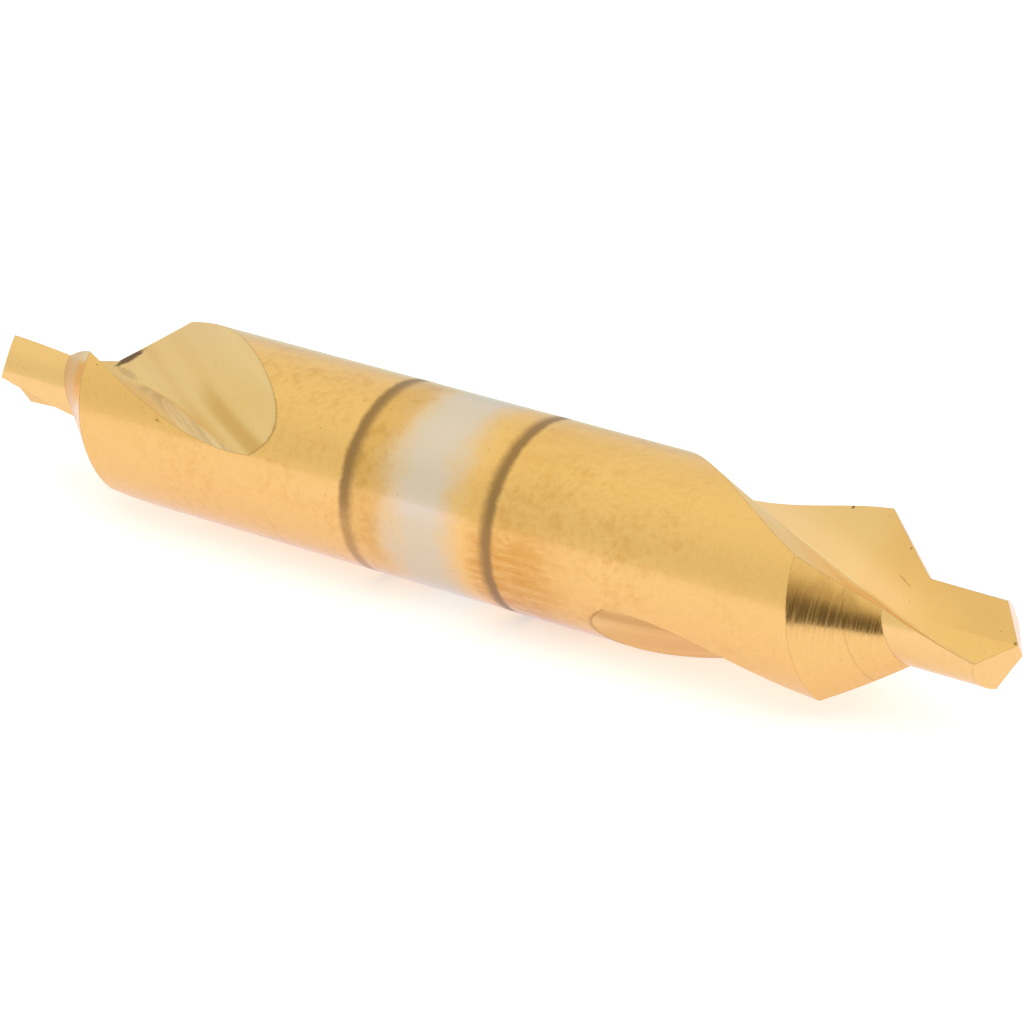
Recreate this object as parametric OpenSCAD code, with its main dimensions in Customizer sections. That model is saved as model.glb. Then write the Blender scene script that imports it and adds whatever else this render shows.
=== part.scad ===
// Centre drill, double ended: a short pilot drill and a countersink ground on each end of one round bar.
// Millimetres. The bar's axis is X, its middle is the origin, +X is the near end and +Z is up.
// Both ends are alike: two flutes half a turn apart, right-hand cutting.

/* [Bar] */
// Diameter of the bar
body_d = 11.1125; // [10.5:0.0125:12]
// Length from point to point
overall_l = 69.85; // [60:0.05:100]

/* [Countersink] */
// Included angle of the countersink at its lips
countersink_angle = 80; // [76:1:86]
// Distance from the point to the outer corners of the countersink's lips, at the near end
near_reach = 10.03; // [9.6:0.01:10.6]
// The same distance at the far end, which is ground a little shorter
far_reach = 9.72; // [9.6:0.01:10.6]
// How far each land's cone stands off the bar's axis, so that the land falls away behind its lip
cone_relief = 0.8; // [0.4:0.05:0.9]
// How far ahead of the lip that offset points, in degrees
relief_lead = 40; // [30:1:50]

/* [Pilot] */
// Diameter of the pilot at its lips
pilot_d = 4.7625; // [4.4:0.0125:5]
// How far the axis of each pilot land stands off the bar's axis
pilot_relief = 0.1; // [0.05:0.01:0.2]
// Included angle of the point
point_angle = 124; // [116:1:130]
// Slope at which the point's flanks fall away behind their lips, in degrees
flank_slope = 23; // [16:1:26]

/* [Web] */
// Distance of the flat at the root of the pilot's flutes from the axis, at the point
web_half = 0.453; // [0.35:0.01:0.55]
// Slope at which the web grows thicker behind the point, in degrees
web_slope = 3.7; // [3:0.1:5]
// Length of the flat behind the point
web_l = 8.6; // [7:0.1:9]

/* [Flutes] */
// Radius of the circle that the face ring is bent to, in bar radii
face_ring_k = 5.2748; // [5.26:0.0005:5.29]
// Radius of the face ring's round section, in bar radii
face_tube_k = 1.1994; // [1.18:0.0005:1.22]
// Radius of the circle that the heel ring is bent to, in bar radii
heel_ring_k = 5.8602; // [5.84:0.0005:5.88]
// Radius of the heel ring's round section, in bar radii
heel_tube_k = 4.3736; // [4.35:0.0005:4.4]

/* [Turn] */
// Turn of the near end about the axis, in degrees
near_turn = -18.8; // [-180:0.1:180]
// Turn of the far end about the axis, in degrees
far_turn = 22.7; // [-180:0.1:180]

/* [Hidden] */
$fn = 96;
body_r = body_d / 2;
pilot_r = pilot_d / 2;
half_l = overall_l / 2;
cone_slope = tan(countersink_angle / 2);
point_slope = tan(point_angle / 2);
// Centres and tilts of the two rings in the frame of one end.
// Its point is the origin and its pilot's lips stand along Z.
face_at = [-0.4238, 3.9684, -0.3182] * body_r;
face_tilt = [0, 25.842, 17.205];
heel_at = [-1.5261, -6.02, -1.2026] * body_r;
heel_tilt = [0, 35.03, 64.34];
// Angles about X in that frame, from +Y.
// The countersink's lip corner
corner_turn = 70;
// The pilot's lip
pilot_turn = 95;
// The parting of the lands
split_turn = 30;
// The web's flat
web_turn = 131;
// How far each land's half laps over the other's
split_lap = 0.2;
// Sizes that only have to be large enough
far = 2 * overall_l;
flute_room = 5 * body_r;

// A place off the axis by the distance off, at the angle turn.
function aside(off, turn) = [0, off * cos(turn), off * sin(turn)];

// Radius of a circle about a place off the axis by off.
// It passes through the point at radius r that lies lead degrees away.
function off_radius(r, off, lead) = sqrt(r * r + off * off - 2 * r * off * cos(lead));

// A round bar bent to a full circle.
module ring(circle_r, tube_r) {
    rotate_extrude() translate([circle_r, 0]) circle(r = tube_r);
}

// The flat that thickens the web behind the point.
module web_keep() {
    intersection() {
        rotate([web_turn - 90, 0, 0]) rotate([0, web_slope, 0])
            translate([-far, -far, web_half - 2 * far]) cube(2 * far);
        translate([-web_l, -far, -far]) cube(2 * far);
    }
}

// What one flute takes away: the inside of the face ring, down to the heel ring and the web, which stay.
module flute_cut() {
    difference() {
        intersection() {
            translate(face_at) rotate(face_tilt) ring(face_ring_k * body_r, face_tube_k * body_r);
            translate([-flute_room, -flute_room, -flute_room]) cube(2 * flute_room);
        }
        translate(heel_at) rotate(heel_tilt) ring(heel_ring_k * body_r, heel_tube_k * body_r);
        web_keep();
    }
}

// One land's half of an end.
// Its cone and its pilot stand off the axis, so that they fall away behind the lips.
module land_half(reach) {
    cone_r = off_radius(body_r, cone_relief, relief_lead);
    land_r = off_radius(pilot_r, pilot_relief, relief_lead);
    apex_x = cone_r / cone_slope - reach;
    intersection() {
        union() {
            translate(aside(cone_relief, corner_turn + relief_lead)) translate([apex_x - far, 0, 0])
                rotate([0, 90, 0]) cylinder(h = far, r1 = far * cone_slope, r2 = 0);
            translate(aside(pilot_relief, pilot_turn + relief_lead)) translate([-far, 0, 0])
                rotate([0, 90, 0]) cylinder(h = far + pilot_r, r = land_r);
        }
        rotate([split_turn, 0, 0]) translate([-far, -split_lap, -far]) cube(2 * far);
    }
}

// The side of a point flank that stays.
// The flank passes through the point and falls away behind its lip.
module flank_keep() {
    rotate([0, -atan(cos(flank_slope) / point_slope), flank_slope])
        translate([-2 * far, -far, -far]) cube(2 * far);
}

// All that the grinding of one end leaves of the bar, before the flutes.
module end_form(reach) {
    intersection() {
        union() {
            land_half(reach);
            rotate([180, 0, 0]) land_half(reach);
        }
        flank_keep();
        rotate([180, 0, 0]) flank_keep();
    }
}

module flute_pair() {
    flute_cut();
    rotate([180, 0, 0]) flute_cut();
}

module at_near_end() {
    rotate([near_turn, 0, 0]) translate([half_l, 0, 0]) children();
}

module at_far_end() {
    rotate([far_turn, 0, 0]) rotate([0, 0, 180]) translate([half_l, 0, 0]) children();
}

// The whole drill: a bar ground at both ends, with two flutes at each.
module drill() {
    color("goldenrod") difference() {
        intersection() {
            rotate([0, 90, 0]) cylinder(h = overall_l, r = body_r, center = true);
            at_near_end() end_form(near_reach);
            at_far_end() end_form(far_reach);
        }
        at_near_end() flute_pair();
        at_far_end() flute_pair();
    }
}

drill();
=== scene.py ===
"""Looks of a double-ended centre drill.

Ground and gold-coated steel with a bare band round the middle, on a white studio floor.
"""
import math

import bpy
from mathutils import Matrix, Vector


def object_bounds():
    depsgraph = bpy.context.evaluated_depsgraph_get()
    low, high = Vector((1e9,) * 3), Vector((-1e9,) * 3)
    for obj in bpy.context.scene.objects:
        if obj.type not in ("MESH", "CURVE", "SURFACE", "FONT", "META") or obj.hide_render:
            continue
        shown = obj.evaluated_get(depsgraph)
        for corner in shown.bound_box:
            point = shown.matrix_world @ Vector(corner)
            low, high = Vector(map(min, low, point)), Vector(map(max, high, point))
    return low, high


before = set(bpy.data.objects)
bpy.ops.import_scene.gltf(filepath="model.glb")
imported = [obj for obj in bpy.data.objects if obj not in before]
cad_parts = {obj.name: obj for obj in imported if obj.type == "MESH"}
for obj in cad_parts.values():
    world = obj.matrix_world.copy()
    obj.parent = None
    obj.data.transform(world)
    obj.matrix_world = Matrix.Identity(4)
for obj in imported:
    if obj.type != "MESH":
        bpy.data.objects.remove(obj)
CAD_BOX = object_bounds()

bl_info = {
    "name": "Centre Drill",
    "version": (1, 0, 0),
    "blender": (4, 5, 0),
    "location": "View3D > Sidebar > Drill",
    "description": "Finishes a centre drill in ground and coated steel on a white studio floor",
    "category": "Object",
}

# The drill's own measures, in millimetres: they place every finish on the surface that carries it.
# The near end is at +X. Each end has its own frame: its point is the origin, and X runs out of it.
MM_PER_M = 1000.0
BAR_R = MM_PER_M * (CAD_BOX[1][1] - CAD_BOX[0][1]) / 2
HALF_L = MM_PER_M * (CAD_BOX[1][0] - CAD_BOX[0][0]) / 2
NEAR_TURN = math.radians(-18.8)
FAR_TURN = math.radians(22.7)
# Each flute is cut by one ring, its face, and stops at another, its heel.
# Centre and tilt of each, radius of the circle that it is bent to, and radius of its tube
FACE_AT = [BAR_R * v for v in (-0.4238, 3.9684, -0.3182)]
FACE_TILT = [math.radians(v) for v in (0, 25.842, 17.205)]
FACE_CIRCLE = 5.2748 * BAR_R
FACE_TUBE = 1.1994 * BAR_R
HEEL_AT = [BAR_R * v for v in (-1.5261, -6.02, -1.2026)]
HEEL_TILT = [math.radians(v) for v in (0, 35.03, 64.34)]
HEEL_CIRCLE = 5.8602 * BAR_R
HEEL_TUBE = 4.3736 * BAR_R
# The flat at the root of the pilot's flutes: normal, distance from the point, and length
WEB_NORMAL = (0.0645, -0.6547, 0.7531)
WEB_HALF = 0.453
WEB_L = 8.6
# The countersink's cones: offset of their axis, slope, and place of their apex at each end
CONE_AXIS = (0, -0.2736, 0.7518)
CONE_ANGLE = math.radians(40)
NEAR_APEX = -4.107
FAR_APEX = -3.797
# Radius at which a fine step runs round the cones; a dark line of painted shade marks it
STEP_R = 3.6
# The pilot's lands: offset of their axis, their radius, and the normals of the point's two flanks
PILOT_AXIS = (0, -0.0707, 0.0707)
PILOT_R = 2.3056
FLANK_NORMALS = ((0.8268, 0.3509, 0.4396), (0.8268, -0.3509, -0.4396))
# Direction square to the parting between the lands
LAND_SIDE = (0, math.cos(math.radians(30)), math.sin(math.radians(30)))
# Directions, in an end's own frame, across and along the flute's grinding lines
WHEEL_AXIS = (-0.38, -0.76, 0.53)
WHEEL_RUN = (0.014, -0.008, -0.001)
# How far a meshed surface may lie from its true form
MESH_SLACK = 0.008
# Widths of the dark lines along the flutes' lips, at the cones' ends and step, and round the flanks
LIP_LINE = 0.035
CONE_LINE = 0.06
FLANK_LINE = 0.05

# Spots in the finish: scale, detail and roughness of their noise, and its levels where they start
# and where they are full
FINE_SPOTS = (2.4, 2.0, 0.5, 0.42, 0.82)
BLOTCHES = (0.9, 4.0, 0.65, 0.46, 0.76)
PATCHES = (0.2, 2.0, 0.5, 0.36, 0.66)
GRAIN = (5.5, 2.0, 0.6, 0.3, 0.7)
SPECKS = (4.2, 1.0, 0.4, 0.765, 0.79)
STREAKS = (2.4, 4.0, 0.65, 0.36, 0.62)
# Ragged edges: scale, detail and roughness of their noise, and how far they wander in all
BAND_SWAY = (0.4, 4.0, 0.65, 2.6)
RING_SWAY = (2.2, 3.0, 0.7, 0.34)

# Where a finish grows or fades along the bar, from its middle
STAINS_THIN = (13.0, 23.0)
CALM_START = (-1.0, 1.0)
CALM_END = (4.2, 5.0)
BURN_START = (2.8, 4.1)
BURN_END = (6.5, 11.0)
TARNISH_START = (-5.6, -5.0)
TARNISH_END = (-3.4, -2.0)
BARE_START = (-4.1, -0.7)
BARE_END = (0.5, 3.2)
# Where one grows or fades with height above the axis
BURN_TOP = (-0.3, 2.6)
TARNISH_FOOT = (-2.5, 0.2)
# Painted shade: darker and yellower low on the bare band
SHADE_TOP = (0.0, 1.6)
RING_FOOT = (-1.2, 0.8)
BANDS_TOP = (1.0, 3.5)
# Painted reflection: the far heels painted paler high up
CROWN_REFLECTION_FOOT = (3.0, 5.2)
# Where one grows or fades in a flute, with distance behind the point
HEEL_LINE_START = (15.0, 19.0)
ROOT_REAR = (8.5, 11.0)
# Painted reflection: the wedge on the near heels is painted paler
WEDGE_START = (8.6, 10.6)
WEDGE_END = (17.0, 19.5)
# Painted reflection: the near faces brighter by their roots, and paler further back
ROOT_REFLECTION_START = (4.5, 8.0)
FACE_REAR = (8.0, 11.5)
# Place of the dark line across the heels' grinding lines, and its half width
HEEL_LINE_AT = 7.6
HEEL_LINE_HALF = 0.75
# Radii between which the far cone's painted reflection, which makes its neck pale, fades
NECK_EDGE = (3.6, 5.0)
# Nicks, a scratch, and a burn and a smudge on the far heel: place, half sizes, turn and strength
MARKS = (
    ((21.86, 4.3, 3.4), (0.16, 0.16, 0.16), (0, 0, 0), 0.8),
    ((-24.3, -4.15, 3.7), (0.26, 0.06, 0.06), (0, 0.2, 0.9), 0.5),
    ((-18.95, -5.23, 1.87), (0.36, 0.08, 0.08), (0, 0.3, 0.3), 0.45),
    ((27.03, 1.86, 3.12), (0.09, 0.09, 0.09), (0, 0, 0), 0.5),
    ((34.75, -0.28, 0.45), (0.11, 0.11, 0.11), (0, 0, 0), 0.6),
    ((27.4, 0.655, 1.8), (0.75, 0.06, 0.06), (0, 0.284, -0.43), 0.3),
    ((-27.06, 1.95, 1.61), (1.22, 0.46, 0.46), (0, -0.541, 0.454), 0.92),
    ((-26.3, 0.8, 1.16), (1.6, 0.26, 0.26), (0, -0.08, -0.44), 0.22),
)
MARK_EDGE = (0.7, 1.2)

# The studio, as the drill mirrors it: colours and levels of the floor, the card and the tent
WHITE = (1, 1, 1, 1)
PAPER = (0.8, 0.8, 0.8, 1)
PAPER_MIRRORED = (0.34, 0.34, 0.34, 1)
FLOOR_GLOW = 0.5
FLOOR_GLOW_MIRRORED = 0.74
FLOOR_CLOSE = (1, 0.975, 1.2, 1)
FLOOR_BEHIND = (0.58, 0.7, 0.64, 1)
CARD_FOOT = (1, 0.88, 0.68, 1)
CARD_TOP = (0.98, 1, 0.92, 1)
CARD_LEVELS = (0.14, 0.96)
TENT = (0.98, 1, 0.95, 1)
TENT_BEHIND = (0.98, 1, 0.98, 1)
# Level direction in which the floor and the tent are shaded, and where on the floor that starts
BACK = (-0.543, 0.84, 0)
FLOOR_BACK = (0.02, 0.07)
# Width of the camera's film, in millimetres
FILM_WIDTH = 36


def srgb(red, green, blue):
    """A colour as seen on a screen, from 0 to 255, in the linear values that shaders use."""
    def linear(value):
        value /= 255
        return value / 12.92 if value <= 0.04045 else ((value + 0.055) / 1.055) ** 2.4
    return (linear(red), linear(green), linear(blue), 1.0)


class DrillFinish(bpy.types.PropertyGroup):
    gold: bpy.props.FloatVectorProperty(
        name="Gold", description="Colour of the coating",
        subtype="COLOR", size=4, min=0, max=1, default=srgb(246, 198, 120))
    olive: bpy.props.FloatVectorProperty(
        name="Olive", description="Colour of the tarnish, and of the bands in the flutes",
        subtype="COLOR", size=4, min=0, max=1, default=srgb(214, 164, 84))
    orange: bpy.props.FloatVectorProperty(
        name="Orange", description="Colour of the stains and of the burnt coating by the near ring",
        subtype="COLOR", size=4, min=0, max=1, default=srgb(222, 162, 80))
    # The bare steel's colour also paints the far cone's neck paler, as painted reflection
    bare: bpy.props.FloatVectorProperty(
        name="Bare steel", description="Colour of the bare band",
        subtype="COLOR", size=4, min=0, max=1, default=srgb(228, 209, 185))
    # Painted shade: the darker, yellower colour low on the bare band
    shade: bpy.props.FloatVectorProperty(
        name="Film", description="Colour of the thin film low on the bare band",
        subtype="COLOR", size=4, min=0, max=1, default=srgb(207, 188, 104))
    ring: bpy.props.FloatVectorProperty(
        name="Ring", description="Colour of the rings at both sides of the band",
        subtype="COLOR", size=4, min=0, max=1, default=srgb(164, 127, 77))
    flute: bpy.props.FloatVectorProperty(
        name="Flute", description="Colour of the coating in the far flutes",
        subtype="COLOR", size=4, min=0, max=1, default=srgb(243, 204, 132))
    # Painted reflection: pale paints the flutes' roots, heels and faces, the flanks and the pilots
    # paler
    pale: bpy.props.FloatVectorProperty(
        name="Pale", description="Colour of thin coating, at the flutes' roots and on the pilots",
        subtype="COLOR", size=4, min=0, max=1, default=srgb(254, 228, 174))
    # Painted reflection: the brighter colour on the near cutting faces by their roots
    flush: bpy.props.FloatVectorProperty(
        name="Flush", description="Colour of the near cutting faces close to their roots",
        subtype="COLOR", size=4, min=0, max=1, default=srgb(255, 206, 138))
    # Dirt and shade: specks, streaks and dark edge lines; the line round the cones' step is painted
    # shade
    dirt_and_shade: bpy.props.FloatVectorProperty(
        name="Dirt", description="Colour of specks and of the lines along the edges",
        subtype="COLOR", size=4, min=0, max=1, default=srgb(150, 112, 60))
    burn: bpy.props.FloatVectorProperty(
        name="Burn", description="Colour of nicks and of the burnt heel",
        subtype="COLOR", size=4, min=0, max=1, default=srgb(92, 58, 26))
    ring_far: bpy.props.FloatProperty(
        name="Far ring", description="Place of the ring nearer the far end, in millimetres",
        default=-5.3, min=-9, max=-4)
    ring_near: bpy.props.FloatProperty(
        name="Near ring", description="Place of the ring nearer the near end, in millimetres",
        default=4.6, min=4, max=9)
    ring_width: bpy.props.FloatProperty(
        name="Ring width", description="Width of each ring, in millimetres",
        default=0.85, min=0.3, max=1.2)
    roughness: bpy.props.FloatProperty(
        name="Roughness", description="Roughness of the ground surface", subtype="FACTOR",
        default=0.2, min=0.05, max=0.6)


class DrillStage(bpy.types.PropertyGroup):
    azimuth: bpy.props.FloatProperty(
        name="Azimuth", description="Turn of the camera round the drill", subtype="ANGLE",
        default=math.radians(36.13))
    elevation: bpy.props.FloatProperty(
        name="Elevation", description="Height of the camera above the horizon", subtype="ANGLE",
        default=math.radians(22.87))
    distance: bpy.props.FloatProperty(
        name="Distance", description="Distance of the camera from its target", unit="LENGTH",
        default=0.26705)
    lens: bpy.props.FloatProperty(
        name="Lens", description="Focal length in millimetres on a 36 mm frame",
        default=169.03, min=20, max=400)
    target: bpy.props.FloatVectorProperty(
        name="Target", description="Place that the camera looks at", subtype="XYZ", unit="LENGTH",
        default=(0.0023447, -0.0000914, -0.0002681))
    card_width: bpy.props.FloatProperty(
        name="Card width", description="Width of the dark card", unit="LENGTH",
        default=0.24, min=0.05)
    card_height: bpy.props.FloatProperty(
        name="Card height", description="Height of the dark card", unit="LENGTH",
        default=0.5, min=0.05)
    card_distance: bpy.props.FloatProperty(
        name="Card distance", description="Distance of the dark card from the drill", unit="LENGTH",
        default=0.45, min=0.1)
    card_side: bpy.props.FloatProperty(
        name="Card side", description="Turn of the dark card round the drill", subtype="ANGLE",
        default=math.radians(55))
    floor_size: bpy.props.FloatProperty(
        name="Floor", description="Side of the floor", unit="LENGTH",
        default=3.0, min=0.5)
    lamp_at: bpy.props.FloatVectorProperty(
        name="Lamp place", description="Place of the soft lamp", subtype="XYZ", unit="LENGTH",
        default=(0, 0.05, 0.6))
    lamp_size: bpy.props.FloatProperty(
        name="Lamp size", description="Side of the soft lamp", unit="LENGTH",
        default=0.8, min=0.1)
    lamp_power: bpy.props.FloatProperty(
        name="Lamp power", description="Power of the soft lamp, in watts",
        default=0.6, min=0)


class Bench:
    """Places nodes in a shader tree and joins them."""
    COLUMNS = 14
    STEP = (220, -260)

    def __init__(self, tree):
        self.tree = tree
        self.count = 0

    def node(self, kind, values=None, **settings):
        node = self.tree.nodes.new(kind)
        row, column = divmod(self.count, self.COLUMNS)
        node.location = (column * self.STEP[0], row * self.STEP[1])
        self.count += 1
        for name, value in settings.items():
            setattr(node, name, value)
        for name, value in (values or {}).items():
            self.feed(node.inputs[name], value)
        return node

    def feed(self, socket, value):
        if isinstance(value, bpy.types.NodeSocket):
            self.tree.links.new(value, socket)
        else:
            socket.default_value = value

    def math(self, operation, *values, clamp=False):
        node = self.node("ShaderNodeMath", operation=operation, use_clamp=clamp)
        for socket, value in zip(node.inputs, values):
            self.feed(socket, value)
        return node.outputs[0]

    def plus(self, first, second):
        return self.math("ADD", first, second)

    def minus(self, first, second):
        return self.math("SUBTRACT", first, second)

    def times(self, first, *others):
        for other in others:
            first = self.math("MULTIPLY", first, other)
        return first

    def most(self, first, *others):
        for other in others:
            first = self.math("MAXIMUM", first, other)
        return first

    def least(self, first, second):
        return self.math("MINIMUM", first, second)

    def opposite(self, value):
        return self.times(value, -1.0)

    def other(self, mask):
        """1 where a mask is 0, and 0 where it is 1."""
        return self.minus(1.0, mask)

    def from_level(self, level, mask):
        """A mask that never goes below a level."""
        return self.plus(level, self.times(mask, 1.0 - level))

    def vector(self, operation, *values):
        node = self.node("ShaderNodeVectorMath", operation=operation)
        for socket, value in zip(node.inputs, values):
            self.feed(socket, value)
        numbers = ("LENGTH", "DISTANCE", "DOT_PRODUCT")
        return node.outputs["Value" if operation in numbers else "Vector"]

    def dot(self, first, second):
        return self.vector("DOT_PRODUCT", first, second)

    def stretched(self, vector, factors):
        return self.vector("MULTIPLY", vector, factors)

    def scaled(self, vector, factor):
        node = self.node("ShaderNodeVectorMath", operation="SCALE")
        self.feed(node.inputs[0], vector)
        self.feed(node.inputs["Scale"], factor)
        return node.outputs["Vector"]

    def ramp(self, value, span, start=0.0, end=1.0):
        """A smooth step from start, at the span's first value, to end, at its second."""
        node = self.node("ShaderNodeMapRange", interpolation_type="SMOOTHSTEP")
        names = ("Value", "From Min", "From Max", "To Min", "To Max")
        for name, item in zip(names, (value, *span, start, end)):
            self.feed(node.inputs[name], item)
        return node.outputs[0]

    def nearer(self, first, second):
        """1 where the first distance is the smaller one, 0 where the second is."""
        return self.ramp(self.minus(second, first), (-MESH_SLACK, MESH_SLACK))

    def line(self, distance, width):
        """1 where a distance is nothing, and 0 from width on."""
        return self.ramp(self.math("ABSOLUTE", distance), (0.2 * width, width), 1.0, 0.0)

    def blend(self, factor, first, second):
        """The first colour where factor is 0, the second where it is 1."""
        node = self.node("ShaderNodeMix", data_type="RGBA")
        self.feed(node.inputs[0], factor)
        self.feed(node.inputs[6], first)
        self.feed(node.inputs[7], second)
        return node.outputs[2]

    def choose(self, factor, first, second):
        """The first number where factor is 0, the second where it is 1."""
        node = self.node("ShaderNodeMix", data_type="FLOAT")
        self.feed(node.inputs[0], factor)
        self.feed(node.inputs[2], first)
        self.feed(node.inputs[3], second)
        return node.outputs[0]

    def choose_vector(self, factor, first, second):
        """The first place where factor is 0, the second where it is 1."""
        node = self.node("ShaderNodeMix", data_type="VECTOR")
        self.feed(node.inputs[0], factor)
        self.feed(node.inputs[4], first)
        self.feed(node.inputs[5], second)
        return node.outputs[1]

    def noise(self, vector, scale, detail, roughness):
        node = self.node("ShaderNodeTexNoise", {
            "Vector": vector, "Scale": scale, "Detail": detail, "Roughness": roughness})
        return node.outputs[0]

    def spots(self, vector, scale, detail, roughness, start, full):
        """1 on the spots of a noise, and 0 between them."""
        return self.ramp(self.noise(vector, scale, detail, roughness), (start, full))

    def sway(self, vector, scale, detail, roughness, width):
        """An offset that wanders over the surface, to both sides."""
        return self.times(self.minus(self.noise(vector, scale, detail, roughness), 0.5), width)

    def into_frame(self, vector, at, tilt, size=(1, 1, 1)):
        """A place measured from at, along axes turned by tilt, in units of size."""
        node = self.node("ShaderNodeMapping", vector_type="TEXTURE", values={
            "Vector": vector, "Location": at, "Rotation": tilt, "Scale": size})
        return node.outputs[0]

    def group(self, tree, **values):
        return self.node("ShaderNodeGroup", values, node_tree=tree).outputs


def new_group(name, inputs, outputs):
    """An empty shader group: returns its bench, its input sockets and its output node's sockets."""
    tree = bpy.data.node_groups.new(name, "ShaderNodeTree")
    for label, kind in inputs:
        tree.interface.new_socket(label, in_out="INPUT", socket_type="NodeSocket" + kind)
    for label in outputs:
        tree.interface.new_socket(label, in_out="OUTPUT", socket_type="NodeSocketFloat")
    bench = Bench(tree)
    return bench, bench.node("NodeGroupInput").outputs, bench.node("NodeGroupOutput").inputs


def ring_group():
    """Distance from the skin of a ring that lies round Z."""
    sizes = [("Circle", "Float"), ("Tube", "Float")]
    b, given, out = new_group("Ring Distance", [("Place", "Vector"), *sizes], ["Distance"])
    across = b.vector("LENGTH", b.stretched(given["Place"], (1, 1, 0)))
    height = b.dot(given["Place"], (0, 0, 1))
    off = b.minus(across, given["Circle"])
    square = b.plus(b.times(off, off), b.times(height, height))
    b.feed(out["Distance"], b.minus(b.math("SQRT", square), given["Tube"]))
    return b.tree


def flute_group(ring_tree):
    """How far a place stands outside one flute, and where the flute's heel and its root are."""
    b, given, out = new_group("Flute Distance", [("Place", "Vector")], ["Distance", "Heel", "Root"])
    place = given["Place"]
    face = b.group(ring_tree, Place=b.into_frame(place, FACE_AT, FACE_TILT),
                   Circle=FACE_CIRCLE, Tube=FACE_TUBE)["Distance"]
    heel = b.group(ring_tree, Place=b.into_frame(place, HEEL_AT, HEEL_TILT),
                   Circle=HEEL_CIRCLE, Tube=HEEL_TUBE)["Distance"]
    behind_web = b.minus(-WEB_L, b.dot(place, (1, 0, 0)))
    above_web = b.minus(b.dot(place, WEB_NORMAL), WEB_HALF)
    kept = b.opposite(b.least(heel, b.most(above_web, behind_web)))
    from_root = b.most(heel, b.opposite(face))
    b.feed(out["Distance"], b.most(face, kept))
    b.feed(out["Heel"], b.ramp(heel, (0.05, 0.2), 1.0, 0.0))
    b.feed(out["Root"], b.ramp(from_root, (0.6, 2.2), 1.0, 0.0))
    return b.tree


def land_group():
    """How far a place stands outside a land's cone, its pilot and the flanks of the point."""
    b, given, out = new_group(
        "Land Distance", [("Place", "Vector"), ("Apex", "Float")], ["Cone", "Pilot", "Flank"])
    across = b.stretched(given["Place"], (0, 1, 1))
    behind = b.minus(given["Apex"], b.dot(given["Place"], (1, 0, 0)))
    cone_r = b.times(behind, math.tan(CONE_ANGLE))
    outside = b.minus(b.vector("DISTANCE", across, CONE_AXIS), cone_r)
    b.feed(out["Cone"], b.times(outside, math.cos(CONE_ANGLE)))
    b.feed(out["Pilot"], b.minus(b.vector("DISTANCE", across, PILOT_AXIS), PILOT_R))
    b.feed(out["Flank"], b.most(*(b.dot(given["Place"], normal) for normal in FLANK_NORMALS)))
    return b.tree


def lines_group():
    """Fine grinding lines and broad bands: the place comes in already drawn out along them."""
    b, given, out = new_group(
        "Grinding Lines", [("Place", "Vector"), ("Scale", "Float")], ["Lines", "Bands"])
    broad = b.times(given["Scale"], 0.22)
    b.feed(out["Lines"], b.spots(given["Place"], given["Scale"], 3.0, 0.7, 0.3, 0.7))
    b.feed(out["Bands"], b.spots(given["Place"], broad, 2.0, 0.5, 0.35, 0.65))
    return b.tree


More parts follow.
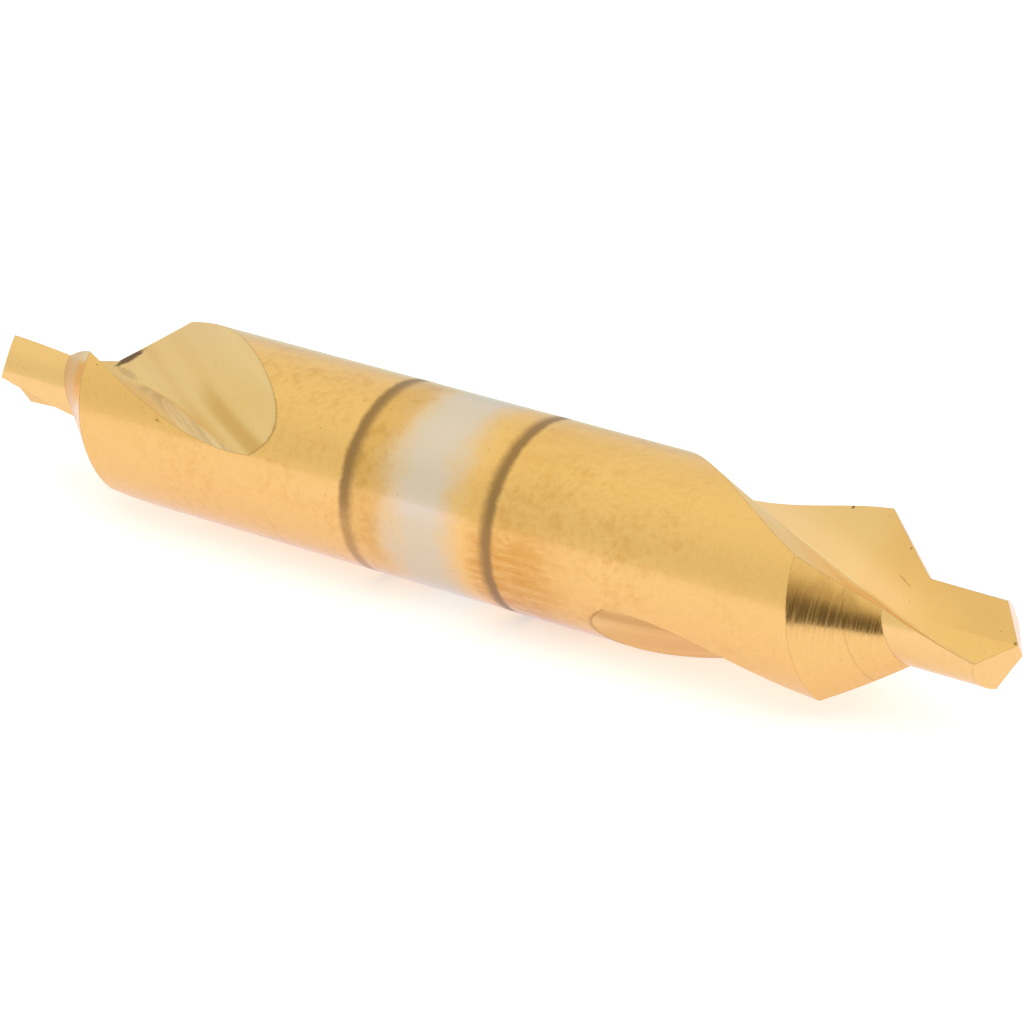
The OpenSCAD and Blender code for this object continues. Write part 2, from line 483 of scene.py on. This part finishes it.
class Surfaces:
    """Masks that say which of the drill's surfaces a place lies on, and how near to their edges."""

    def __init__(self, b, place):
        axes = b.node("ShaderNodeSeparateXYZ", {"Vector": place}).outputs
        self.along = axes["X"]
        self.height = axes["Z"]
        self.radius = b.vector("LENGTH", b.stretched(place, (0, 1, 1)))

        # Each end in its own frame, and the same turned by half a turn
        self.near = b.math("GREATER_THAN", self.along, 0.0)
        self.far = b.other(self.near)
        far_end = b.into_frame(place, (-HALF_L, 0, 0), (-FAR_TURN, 0, math.pi))
        near_end = b.into_frame(place, (HALF_L, 0, 0), (NEAR_TURN, 0, 0))
        end = b.choose_vector(self.near, far_end, near_end)
        turned = b.stretched(end, (1, -1, -1))

        # The closer of the two flutes
        flute_tree = flute_group(ring_group())
        first = b.group(flute_tree, Place=end)
        second = b.group(flute_tree, Place=turned)
        is_second = b.math("LESS_THAN", second["Distance"], first["Distance"])
        self.flute_place = b.choose_vector(is_second, end, turned)
        self.behind = b.dot(self.flute_place, (-1, 0, 0))
        flute_off = b.math("ABSOLUTE", b.least(first["Distance"], second["Distance"]))

        # The land on this side of the parting
        is_other = b.math("LESS_THAN", b.dot(end, LAND_SIDE), 0.0)
        land = b.group(land_group(), Place=b.choose_vector(is_other, end, turned),
                       Apex=b.choose(self.near, FAR_APEX, NEAR_APEX))
        cone, pilot, flank = land["Cone"], land["Pilot"], land["Flank"]
        ground = b.least(cone, pilot)
        bar = b.minus(self.radius, BAR_R)
        skin_off = b.opposite(b.most(bar, ground, flank))

        self.flute = b.nearer(flute_off, skin_off)
        outside = b.other(self.flute)
        self.heel = b.times(self.flute, b.choose(is_second, first["Heel"], second["Heel"]))
        self.root = b.times(self.flute, b.choose(is_second, first["Root"], second["Root"]))
        self.face = b.math("SUBTRACT", self.flute, self.heel, clamp=True)
        self.bar = b.times(outside, b.nearer(b.most(ground, flank), bar))
        self.flank = b.times(outside, b.nearer(b.most(bar, ground), flank))
        turned_part = b.math("SUBTRACT", outside, b.plus(self.bar, self.flank), clamp=True)
        self.cone = b.times(turned_part, b.nearer(cone, pilot))
        self.pilot = b.math("SUBTRACT", turned_part, self.cone, clamp=True)

        # Dark lines along the flutes' lips, the cones' feet, necks and step, and the flanks
        lips = b.plus(b.times(b.line(flute_off, LIP_LINE), outside),
                      b.times(b.line(skin_off, LIP_LINE), self.flute))
        foot = b.times(b.line(cone, CONE_LINE), self.bar)
        neck = b.times(b.line(cone, CONE_LINE), self.pilot)
        # Painted shade: the dark line round the cones' step
        step = b.times(b.line(b.minus(self.radius, STEP_R), CONE_LINE), self.cone, 0.6)
        point = b.times(b.line(flank, FLANK_LINE), b.plus(self.pilot, self.flute))
        self.edge = b.most(lips, b.times(b.most(foot, neck, step, point), 0.75))


def stained_coat(b, finish, place, parts, blotch, grain):
    """The bar's coating with its stains, which thin out towards the ends and beside the band."""
    patch = b.spots(place, *PATCHES)
    thinning = b.ramp(b.math("ABSOLUTE", parts.along), STAINS_THIN, 0.38, 0.1)
    calm = b.times(b.ramp(parts.along, CALM_START), b.ramp(parts.along, CALM_END, 0.6, 0.0))
    amount = b.times(b.plus(0.3, patch), thinning, b.other(calm))
    spots = b.math("ADD", b.spots(place, *FINE_SPOTS), blotch, clamp=True)
    coat = b.blend(b.times(spots, amount), finish.gold, finish.orange)
    return b.blend(b.times(grain, 0.1), coat, finish.olive)


def banded_coat(b, finish, place, parts, blotch, coat):
    """The band: burnt coating by the near ring, bare steel, and tarnish by the far ring."""
    ragged = b.plus(parts.along, b.sway(place, *BAND_SWAY))
    streak = b.spots(b.stretched(place, (0.2, 1, 1)), *STREAKS)
    burnt = b.times(b.ramp(ragged, BURN_START), b.ramp(ragged, BURN_END, 1.0, 0.0),
                    b.ramp(parts.height, BURN_TOP, 1.0, 0.2), b.from_level(0.35, streak))
    bare = b.times(b.ramp(ragged, BARE_START), b.ramp(ragged, BARE_END, 1.0, 0.0))
    # Painted shade: the bare band darker and yellower low on the bar
    shade = b.ramp(parts.height, SHADE_TOP, 0.3, 0.0)
    tarnish = b.times(b.ramp(parts.along, TARNISH_START), b.ramp(ragged, TARNISH_END, 1.0, 0.0),
                      b.ramp(parts.height, TARNISH_FOOT, 0.35, 1.0), b.from_level(0.4, blotch))
    coat = b.blend(burnt, coat, finish.orange)
    coat = b.blend(bare, coat, b.blend(shade, finish.bare, finish.shade))
    return b.blend(tarnish, coat, finish.olive)


def ring_mask(b, finish, place, parts):
    """The two rings, sharp on their outer sides; the far one is fainter low on the bar."""
    half = finish.ring_width / 2
    outward = b.choose(parts.near, b.minus(finish.ring_far, parts.along),
                       b.minus(parts.along, finish.ring_near))
    outward = b.plus(outward, b.sway(place, *RING_SWAY))
    inner = b.ramp(outward, (-2.0 * half, -0.25 * half))
    outer = b.ramp(outward, (0.25 * half, 1.2 * half), 1.0, 0.0)
    faded = b.choose(parts.near, b.ramp(parts.height, RING_FOOT, 0.6, 1.0), 1.0)
    return b.times(inner, outer, faded, parts.bar)


def flute_coat(b, finish, parts, flute_lines):
    """The flutes: bands along the grinding, painted reflection that makes them paler in places, and
    a dark line across the heels.
    """
    rear = b.ramp(parts.behind, ROOT_REAR)
    near_face = b.times(parts.face, parts.near)
    bands = b.times(flute_lines["Bands"],
                    b.choose(parts.heel, 0.05, b.ramp(parts.height, BANDS_TOP, 0.4, 0.2)))
    # Painted reflection: paler in the far roots, on the near heels, near faces and high on far
    # heels
    wedge = b.times(b.ramp(parts.behind, WEDGE_START, 0.35, 0.9),
                    b.ramp(parts.behind, WEDGE_END, 1.0, 0.3))
    far_painted_reflection = b.times(parts.root, b.choose(parts.heel, b.times(rear, 0.85), 0.2))
    near_painted_reflection = b.times(b.most(parts.root, 0.48), wedge, parts.heel)
    # A dark olive line across the heels' grinding lines, far behind the point
    heel_line = b.times(b.line(b.minus(b.dot(parts.flute_place, WHEEL_AXIS), HEEL_LINE_AT), HEEL_LINE_HALF),
                     b.ramp(parts.behind, HEEL_LINE_START), parts.heel, 0.65)
    # Painted reflection: the near faces brighter by their roots, and paler further back
    flush = b.times(near_face, parts.root, b.ramp(parts.behind, ROOT_REFLECTION_START, 0.0, 0.9))
    face_painted_reflection = b.times(near_face, b.ramp(parts.behind, FACE_REAR, 0.0, 0.2))
    # Darker streaks along the grinding lines on the far faces by their roots
    root_streaks = b.times(parts.face, parts.far, parts.root, rear, flute_lines["Lines"], 0.45)
    crown_painted_reflection = b.times(parts.far, parts.heel, b.ramp(parts.height, CROWN_REFLECTION_FOOT, 0.0, 0.3))

    coat = b.blend(bands, b.blend(parts.near, finish.flute, finish.gold), finish.olive)
    coat = b.blend(b.choose(parts.near, far_painted_reflection, near_painted_reflection), coat, finish.pale)
    coat = b.blend(heel_line, coat, finish.olive)
    coat = b.blend(flush, coat, finish.flush)
    coat = b.blend(face_painted_reflection, coat, finish.pale)
    coat = b.blend(root_streaks, coat, finish.dirt_and_shade)
    return b.blend(crown_painted_reflection, coat, finish.pale)


def lined_and_marked_coat(b, finish, place, parts, grain, coat):
    """Dark lines along the edges, specks, and the marks that are placed one by one."""
    # Dark lines along the edges; round the cones' step the line is painted shade
    coat = b.blend(b.times(parts.edge, b.plus(0.25, b.times(grain, 0.3))), coat, finish.dirt_and_shade)
    coat = b.blend(b.times(b.spots(place, *SPECKS), 0.3), coat, finish.dirt_and_shade)
    for at, size, turn, strength in MARKS:
        off = b.vector("LENGTH", b.into_frame(place, at, turn, size))
        rough_off = b.plus(off, b.times(grain, 0.3))
        coat = b.blend(b.ramp(rough_off, MARK_EDGE, strength, 0.0), coat, finish.burn)
    return coat


def coating(b, finish, place, parts, flute_lines):
    """Colour of the steel all over, with the masks of the rings and of the far cone's neck."""
    blotch = b.spots(place, *BLOTCHES)
    grain = b.spots(place, *GRAIN)
    ring = ring_mask(b, finish, place, parts)
    # Painted reflection: the far cone paler towards its neck, and the flanks and pilots paler
    neck = b.times(parts.cone, parts.far, b.ramp(parts.radius, NECK_EDGE, 0.5, 0.1))
    tip_painted_reflection = b.plus(b.times(parts.flank, 0.14), b.times(parts.pilot, 0.16))

    coat = stained_coat(b, finish, place, parts, blotch, grain)
    coat = banded_coat(b, finish, place, parts, blotch, coat)
    coat = b.blend(ring, coat, finish.ring)
    coat = b.blend(parts.flute, coat, flute_coat(b, finish, parts, flute_lines))
    # Painted reflection: the far cone's neck in the bare steel's colour, the tip in pale
    coat = b.blend(neck, coat, finish.bare)
    coat = b.blend(tip_painted_reflection, coat, finish.pale)
    return lined_and_marked_coat(b, finish, place, parts, grain, coat), ring, neck


def new_material(name):
    """An empty material and its bench."""
    material = bpy.data.materials.new(name)
    material.use_nodes = True
    material.node_tree.nodes.clear()
    return material, Bench(material.node_tree)


def steel_material(finish):
    """Ground steel with its coating, bare band, rings, grinding lines, stains, edge lines and
    painted light.
    """
    material, b = new_material("Ground and coated steel")
    place = b.scaled(b.node("ShaderNodeTexCoord").outputs["Object"], MM_PER_M)
    parts = Surfaces(b, place)

    # Grinding lines: round the bar, finer round the cones, and along the flutes
    lines_tree = lines_group()
    round_lines = b.group(lines_tree, Place=b.stretched(place, (1, 0.02, 0.02)),
                          Scale=b.choose(parts.cone, 6.0, 14.0))["Lines"]
    flute_line_place = b.node("ShaderNodeCombineXYZ", {
        "X": b.dot(parts.flute_place, WHEEL_AXIS),
        "Y": b.dot(parts.flute_place, WHEEL_RUN)}).outputs[0]
    flute_lines = b.group(lines_tree, Place=flute_line_place, Scale=4.0)
    coat, ring, neck = coating(b, finish, place, parts, flute_lines)

    # Roughness: of the ground skin, of each end's faces and heels, and of the rings and the neck
    uneven = b.times(b.minus(round_lines, 0.5), b.choose(parts.cone, 0.08, 0.18))
    ground = b.plus(finish.roughness, uneven)
    far_milled = b.choose(parts.heel, 0.42, 0.28)
    near_milled = b.choose(parts.heel, 0.22, 0.5)
    milled = b.plus(b.choose(parts.near, far_milled, near_milled),
                    b.times(flute_lines["Lines"], 0.08))
    dulled = b.plus(b.times(ring, 0.2), b.times(neck, 0.5))
    rough = b.plus(b.choose(parts.flute, ground, milled), dulled)

    # The lines' relief, which is deepest on the heels
    relief = b.choose(parts.flute, b.times(round_lines, 0.5),
                      b.times(flute_lines["Lines"], b.choose(parts.heel, 0.04, 3.5)))
    bump = b.node("ShaderNodeBump", {"Height": relief, "Strength": 0.06, "Distance": 0.00002})
    shader = b.node("ShaderNodeBsdfPrincipled", {
        "Base Color": coat, "Roughness": rough, "Metallic": 1.0, "Normal": bump.outputs[0]})
    b.node("ShaderNodeOutputMaterial", {"Surface": shader.outputs[0]})
    return material


class DRILL_OT_finish(bpy.types.Operator):
    """Give the drill its ground and coated finish"""
    bl_idname = "drill.finish"
    bl_label = "Finish the Drill"

    def execute(self, context):
        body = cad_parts["drill"]
        body.data.materials.clear()
        body.data.materials.append(steel_material(context.scene.drill_finish))
        return {"FINISHED"}


def floor_material():
    """White floor that keeps a faint shadow; what the drill mirrors of it is evenly lit."""
    material, b = new_material("White floor")
    path = b.node("ShaderNodeLightPath").outputs
    mirrored = b.most(path["Is Glossy Ray"], path["Is Transmission Ray"])
    paper = b.node("ShaderNodeBsdfDiffuse", {"Color": b.blend(mirrored, PAPER, PAPER_MIRRORED)})
    back = b.dot(b.node("ShaderNodeTexCoord").outputs["Object"], BACK)
    tint = b.blend(b.ramp(back, FLOOR_BACK), FLOOR_CLOSE, FLOOR_BEHIND)
    glow = b.node("ShaderNodeEmission", {
        "Color": b.blend(mirrored, WHITE, tint),
        "Strength": b.plus(b.times(path["Is Camera Ray"], FLOOR_GLOW),
                           b.times(mirrored, FLOOR_GLOW_MIRRORED))})
    both = b.node("ShaderNodeAddShader")
    b.feed(both.inputs[0], paper.outputs[0])
    b.feed(both.inputs[1], glow.outputs[0])
    b.node("ShaderNodeOutputMaterial", {"Surface": both.outputs[0]})
    return material


def card_material(height):
    """Dark brown at the foot and as pale as the tent at the top."""
    material, b = new_material("Dark card")
    place = b.node("ShaderNodeTexCoord").outputs["Object"]
    up = b.node("ShaderNodeSeparateXYZ", {"Vector": place}).outputs["Y"]
    top = 0.28 * height
    glow = b.node("ShaderNodeEmission", {
        "Color": b.blend(b.ramp(up, (-0.1 * height, top)), CARD_FOOT, CARD_TOP),
        "Strength": b.ramp(up, (-0.31 * height, top), *CARD_LEVELS)})
    b.node("ShaderNodeOutputMaterial", {"Surface": glow.outputs[0]})
    return material


def studio_world():
    """White all round for the camera; for the drill, a white tent, darker above the horizon."""
    world = bpy.data.worlds.new("White tent")
    world.use_nodes = True
    world.node_tree.nodes.clear()
    b = Bench(world.node_tree)
    seen = b.node("ShaderNodeLightPath").outputs["Is Camera Ray"]
    out = b.node("ShaderNodeTexCoord").outputs["Generated"]
    up = b.node("ShaderNodeSeparateXYZ", {"Vector": out}).outputs["Z"]
    back = b.ramp(b.dot(out, BACK), (0.65, 0.95))
    sides = b.ramp(up, (0.0, 0.35), 0.91, 0.87)
    roof = b.ramp(up, (0.4, 1.0), 0.0, 0.13)
    behind = b.times(back, b.ramp(up, (0.0, 0.4), -0.14, 0.04))
    level = b.plus(b.plus(sides, roof), behind)
    tent = b.node("ShaderNodeBackground", {
        "Color": b.blend(seen, b.blend(back, TENT, TENT_BEHIND), WHITE),
        "Strength": b.choose(seen, level, 1.0)})
    b.node("ShaderNodeOutputWorld", {"Surface": tent.outputs[0]})
    return world


def towards(azimuth, elevation):
    """Unit vector from the drill: azimuth 0 is the -Y side, 90 the +X side."""
    level = math.cos(elevation)
    return Vector((math.sin(azimuth) * level, -math.cos(azimuth) * level, math.sin(elevation)))


class DRILL_OT_stage(bpy.types.Operator):
    """Lay the floor and set the lights, the tent and the camera"""
    bl_idname = "drill.stage"
    bl_label = "Set the Stage"

    def execute(self, context):
        stage = context.scene.drill_stage
        ground = CAD_BOX[0][2]
        bpy.ops.object.select_all(action="DESELECT")
        bpy.ops.mesh.primitive_plane_add(size=stage.floor_size, location=(0, 0, ground))
        floor = context.object
        floor.name = "floor"
        floor.data.materials.append(floor_material())

        # A dark card, which the near countersink mirrors and the camera never sees
        bpy.ops.object.select_all(action="DESELECT")
        bpy.ops.mesh.primitive_plane_add(size=1, rotation=(math.pi / 2, 0, stage.card_side))
        card = context.object
        card.name = "dark_card"
        card.scale = (stage.card_width, stage.card_height, 1)
        middle = Vector((0, 0, ground + stage.card_height / 2))
        card.location = stage.card_distance * towards(stage.card_side, 0) + middle
        bpy.ops.object.transform_apply(location=False, rotation=False, scale=True)
        card.data.materials.append(card_material(stage.card_height))
        card.visible_camera = False
        card.visible_diffuse = False

        bpy.ops.object.light_add(type="AREA", location=stage.lamp_at)
        lamp = context.object
        lamp.name = "softbox"
        lamp.data.shape = "SQUARE"
        lamp.data.size = stage.lamp_size
        lamp.data.energy = stage.lamp_power
        lamp.visible_glossy = False

        context.scene.world = studio_world()
        view = towards(stage.azimuth, stage.elevation)
        bpy.ops.object.camera_add(
            location=Vector(stage.target) + stage.distance * view,
            rotation=(math.pi / 2 - stage.elevation, 0, stage.azimuth))
        camera = context.object
        camera.name = "camera"
        camera.data.sensor_width = FILM_WIDTH
        camera.data.lens = stage.lens
        camera.data.clip_start = 0.01
        context.scene.camera = camera
        context.scene.view_settings.view_transform = "Standard"
        return {"FINISHED"}


class DRILL_PT_panel(bpy.types.Panel):
    """Sizes and colours of the drill's finish, and its stage"""
    bl_label = "Centre Drill"
    bl_space_type = "VIEW_3D"
    bl_region_type = "UI"
    bl_category = "Drill"

    def draw(self, context):
        layout = self.layout
        for group in (context.scene.drill_finish, context.scene.drill_stage):
            column = layout.column()
            for name in group.__annotations__:
                column.prop(group, name)
        layout.operator(DRILL_OT_finish.bl_idname)
        layout.operator(DRILL_OT_stage.bl_idname)


CLASSES = (DrillFinish, DrillStage, DRILL_OT_finish, DRILL_OT_stage, DRILL_PT_panel)


def register():
    for item in CLASSES:
        bpy.utils.register_class(item)
    bpy.types.Scene.drill_finish = bpy.props.PointerProperty(type=DrillFinish)
    bpy.types.Scene.drill_stage = bpy.props.PointerProperty(type=DrillStage)


def unregister():
    del bpy.types.Scene.drill_stage
    del bpy.types.Scene.drill_finish
    for item in reversed(CLASSES):
        bpy.utils.unregister_class(item)


def main():
    register()
    bpy.ops.drill.stage()
    bpy.ops.drill.finish()


if __name__ == "__main__":
    main()
